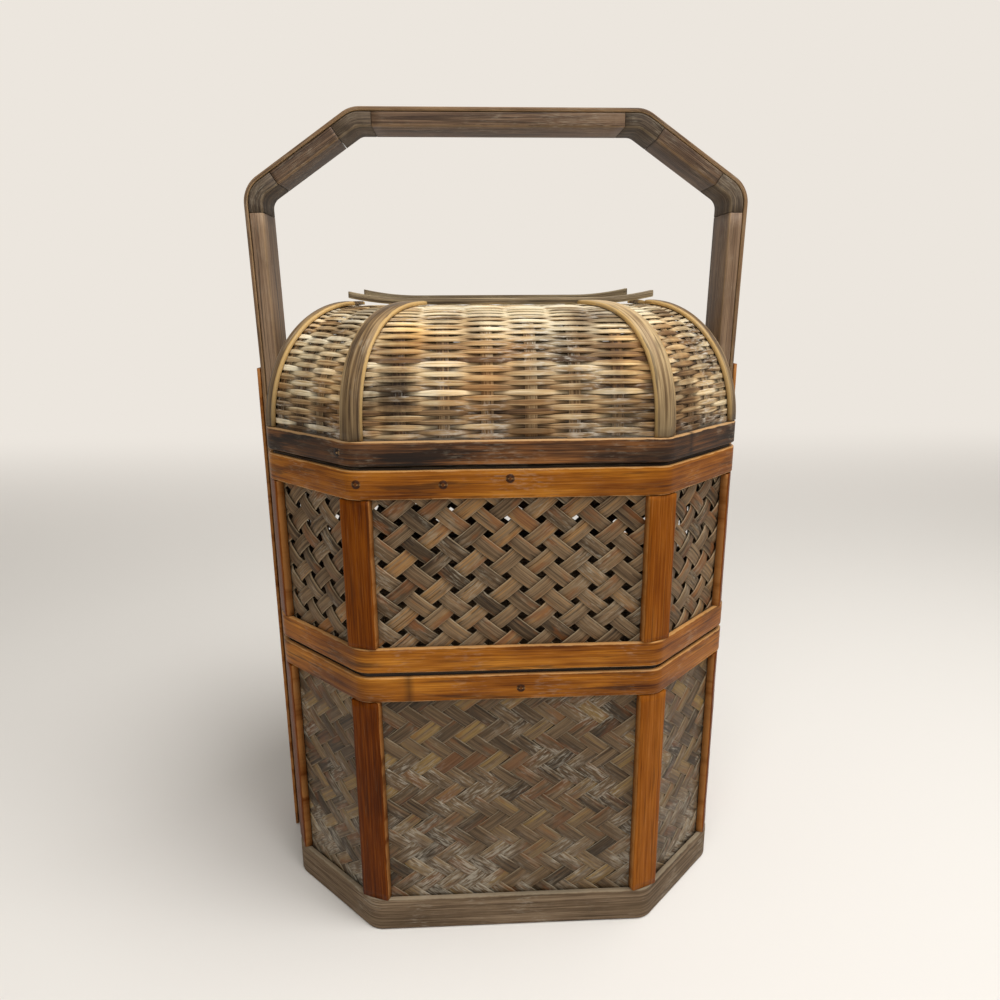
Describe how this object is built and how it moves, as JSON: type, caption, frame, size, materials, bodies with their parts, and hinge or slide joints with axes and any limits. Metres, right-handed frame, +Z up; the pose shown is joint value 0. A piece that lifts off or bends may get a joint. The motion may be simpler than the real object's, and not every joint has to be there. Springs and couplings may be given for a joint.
{
  "type": "tiered food basket",
  "caption": "Stacked octagonal bamboo food basket with an open-weave tier over a close-woven tier, a domed woven lid and a fixed arched carrying handle.",
  "frame": {"origin": "middle of the footprint, at the level of the base band's underside", "axes": "+Z up along the stack, +Y to the back, so the front face looks along -Y and the handle's arch spans X"},
  "size_m": [0.2632, 0.2022, 0.416],
  "materials": {
    "band_bamboo": "satin varnished bamboo, orange brown",
    "slat_bamboo": "satin varnished bamboo, orange brown",
    "base_bamboo": "weathered matte bamboo",
    "open_weave": "aged split bamboo, open diagonal weave",
    "dense_weave": "aged split bamboo, close diagonal weave, worn varnish",
    "dome_weave": "matte split bamboo, basket weave",
    "lid_bamboo": "satin, darkened bamboo",
    "rib_bamboo": "satin bamboo",
    "strip_bamboo": "matte grey bamboo",
    "handle_bamboo": "satin, darkened bamboo",
    "strap_bamboo": "satin, darkened bamboo",
    "floor_bamboo": "matte woven bamboo",
    "dark_bamboo": "matte dark bamboo"
  },
  "bodies": {
    "lower_tier": {"lower_base_band": "base_bamboo", "lower_rim_band": "band_bamboo", "lower_woven_wall": "dense_weave", "lower_collar": "dark_bamboo", "lower_slat_right_to_back_right": "slat_bamboo", "lower_slat_back_right_to_back": "slat_bamboo", "lower_slat_back_to_back_left": "slat_bamboo", "lower_slat_back_left_to_left": "slat_bamboo", "lower_slat_left_to_front_left": "slat_bamboo", "lower_slat_front_left_to_front": "slat_bamboo", "lower_slat_front_to_front_right": "slat_bamboo", "lower_slat_front_right_to_right": "slat_bamboo", "lower_floor": "floor_bamboo", "lower_batten_front": "dark_bamboo", "lower_batten_back": "dark_bamboo", "handle_leg_left": "handle_bamboo", "handle_leg_right": "handle_bamboo", "handle_diagonal_left": "handle_bamboo", "handle_diagonal_right": "handle_bamboo", "handle_top_bar": "handle_bamboo", "handle_lower_block_left": "handle_bamboo", "handle_lower_block_right": "handle_bamboo", "handle_upper_block_left": "handle_bamboo", "handle_upper_block_right": "handle_bamboo", "handle_outer_strap": "strap_bamboo", "handle_lap_left": "strap_bamboo", "handle_lap_right": "strap_bamboo"},
    "upper_tier": {"upper_foot_band": "band_bamboo", "upper_rim_band": "band_bamboo", "upper_collar": "dark_bamboo", "upper_panel_right": "open_weave", "upper_panel_back_right": "open_weave", "upper_panel_back": "open_weave", "upper_panel_back_left": "open_weave", "upper_panel_left": "open_weave", "upper_panel_front_left": "open_weave", "upper_panel_front": "open_weave", "upper_panel_front_right": "open_weave", "upper_slat_right_to_back_right": "slat_bamboo", "upper_slat_back_right_to_back": "slat_bamboo", "upper_slat_back_to_back_left": "slat_bamboo", "upper_slat_back_left_to_left": "slat_bamboo", "upper_slat_left_to_front_left": "slat_bamboo", "upper_slat_front_left_to_front": "slat_bamboo", "upper_slat_front_to_front_right": "slat_bamboo", "upper_slat_front_right_to_right": "slat_bamboo", "upper_floor": "floor_bamboo"},
    "lid": {"lid_rim_band": "lid_bamboo", "lid_dome": "dome_weave", "lid_rib_right_to_back_right": "rib_bamboo", "lid_rib_back_right_to_back": "rib_bamboo", "lid_rib_back_to_back_left": "rib_bamboo", "lid_rib_back_left_to_left": "rib_bamboo", "lid_rib_left_to_front_left": "rib_bamboo", "lid_rib_front_left_to_front": "rib_bamboo", "lid_rib_front_to_front_right": "rib_bamboo", "lid_rib_front_right_to_right": "rib_bamboo", "lid_ridge_strip_front": "strip_bamboo", "lid_ridge_strip_back": "strip_bamboo"}
  },
  "joints": [
    {"name": "upper_tier_lift", "type": "slide", "parent": "lower_tier", "child": "upper_tier", "axis": [0, 0, 1], "range_m": [0, 0.02]},
    {"name": "lid_lift", "type": "slide", "parent": "upper_tier", "child": "lid", "axis": [0, 0, 1], "range_m": [0, 0.045]}
  ]
}
